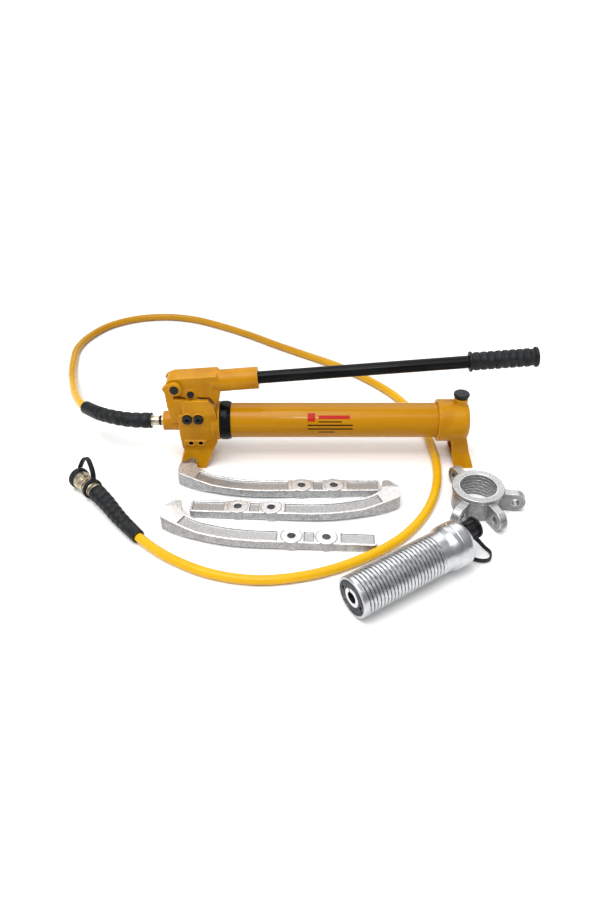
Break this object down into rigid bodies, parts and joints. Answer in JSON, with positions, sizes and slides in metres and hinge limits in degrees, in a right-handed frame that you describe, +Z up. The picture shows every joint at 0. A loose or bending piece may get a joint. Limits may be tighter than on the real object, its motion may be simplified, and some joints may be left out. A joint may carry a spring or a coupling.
{
  "type": "hydraulic gear puller kit",
  "caption": "Hydraulic gear puller kit: hand pump with a lever, high-pressure hose, threaded ram, threaded crosshead with ears, and hooked jaws.",
  "frame": {"origin": "on the floor under the middle of the pump head's foot", "axes": "+X along the pump towards the lever's grip, +Y away from the jaws, +Z up"},
  "size_m": [0.8988, 0.9632, 0.219],
  "materials": {
    "yellow_casting": "gloss paint over a casting",
    "yellow_tube": "gloss paint",
    "black_paint": "semi-gloss paint",
    "black_rubber": "matte",
    "black_plastic": "satin",
    "black_oxide": "satin black oxide",
    "hose_jacket": "smooth polyurethane jacket",
    "zinc_forging": "bright zinc over a forged skin",
    "chromed_steel": "turned and plated",
    "bright_steel": "turned",
    "plated_fitting": "plated, turned",
    "strainer_mesh": "woven wire"
  },
  "bodies": {
    "pump": {"pump_body": "yellow_casting", "reservoir_tube": "yellow_tube", "tube_lock_ring": "black_paint", "tube_seal": "black_rubber", "rear_stand": "yellow_casting", "plunger_gland": "bright_steel", "plunger_seal": "black_rubber", "fulcrum_pin": "black_oxide", "fulcrum_pin_clip": "black_oxide", "valve_plugs": "black_oxide", "valve_springs": "bright_steel", "suction_strainer": "strainer_mesh", "outlet_fitting": "plated_fitting", "outlet_seal": "black_rubber", "pump_ferrule": "bright_steel", "pump_boot": "black_rubber", "hose": "hose_jacket", "coupler_boot": "black_rubber", "coupler_ferrule": "bright_steel", "coupler_body": "plated_fitting", "coupler_strap": "black_rubber"},
    "lever": {"lever_beam": "yellow_casting", "lever_tube": "black_paint", "lever_grip": "black_rubber", "plunger_pin": "black_oxide", "plunger_pin_clip": "black_oxide"},
    "plunger": {"pump_plunger": "bright_steel"},
    "filler_cap": {"filler_cap": "black_plastic"},
    "release_knob": {"release_knob": "black_plastic"},
    "suction_ball": {"suction_ball": "bright_steel"},
    "delivery_ball": {"delivery_ball": "bright_steel"},
    "coupler_sleeve": {"coupler_sleeve": "plated_fitting"},
    "coupler_cap": {"coupler_cap": "black_rubber"},
    "ram": {"ram_barrel": "chromed_steel", "ram_retainer": "black_oxide", "ram_return_spring": "bright_steel", "ram_nipple": "bright_steel", "ram_strap": "black_rubber"},
    "ram_plunger": {"ram_plunger": "bright_steel", "ram_seal": "black_rubber"},
    "ram_cap": {"ram_cap": "black_plastic"},
    "crosshead": {"crosshead": "zinc_forging"},
    "jaw_1": {"jaw_1": "zinc_forging"},
    "jaw_2": {"jaw_2": "zinc_forging"},
    "jaw_3": {"jaw_3": "zinc_forging"}
  },
  "joints": [
    {"name": "lever_pivot", "type": "hinge", "parent": "pump", "child": "lever", "pos_m": [-0.021, 0, 0.152], "axis": [0, -1, 0], "range_deg": [0, 45]},
    {"name": "plunger_stroke", "type": "slide", "parent": "pump", "child": "plunger", "axis": [0, 0, 1], "range_m": [0, 0.0222]},
    {"name": "filler_cap_turn", "type": "hinge", "parent": "pump", "child": "filler_cap", "pos_m": [0.468, 0, 0.124], "axis": [0, 0, 1], "range_deg": [0, 270]},
    {"name": "release_knob_turn", "type": "hinge", "parent": "pump", "child": "release_knob", "pos_m": [0.022, 0.03, 0.062], "axis": [0, 1, 0], "range_deg": [-180, 0]},
    {"name": "suction_ball_lift", "type": "slide", "parent": "pump", "child": "suction_ball", "axis": [0, -1, 0], "range_m": [0, 0.0015], "stiffness_N_per_m": 50, "springref_m": -0.004},
    {"name": "delivery_ball_lift", "type": "slide", "parent": "pump", "child": "delivery_ball", "axis": [0, -1, 0], "range_m": [0, 0.0015], "stiffness_N_per_m": 50, "springref_m": -0.004},
    {"name": "coupler_sleeve_turn", "type": "hinge", "parent": "pump", "child": "coupler_sleeve", "pos_m": [-0.149, -0.131, 0.0185], "axis": [-0.6947, 0.7193, 0], "continuous": true},
    {"name": "coupler_cap_pull", "type": "slide", "parent": "pump", "child": "coupler_cap", "axis": [-0.6947, 0.7193, 0], "range_m": [0, 0.02]},
    {"name": "ram_lift", "type": "slide", "parent": "pump", "child": "ram", "axis": [0, 0, 1], "range_m": [0, 0.15]},
    {"name": "ram_stroke", "type": "slide", "parent": "ram", "child": "ram_plunger", "axis": [-0.8365, -0.5474, -0.023], "range_m": [0, 0.1], "stiffness_N_per_m": 400, "springref_m": -0.03},
    {"name": "ram_cap_pull", "type": "slide", "parent": "ram", "child": "ram_cap", "axis": [0.8365, 0.5474, 0.023], "range_m": [0, 0.02]},
    {"name": "crosshead_lift", "type": "slide", "parent": "pump", "child": "crosshead", "axis": [0, 0, 1], "range_m": [0, 0.15]},
    {"name": "jaw_1_lift", "type": "slide", "parent": "pump", "child": "jaw_1", "axis": [0, 0, 1], "range_m": [0, 0.15]},
    {"name": "jaw_2_lift", "type": "slide", "parent": "pump", "child": "jaw_2", "axis": [0, 0, 1], "range_m": [0, 0.15]},
    {"name": "jaw_3_lift", "type": "slide", "parent": "pump", "child": "jaw_3", "axis": [0, 0, 1], "range_m": [0, 0.15]}
  ],
  "couplings": [
    {"joint": "plunger_stroke", "follows": "lever_pivot", "m_per_rad": 0.02817}
  ]
}
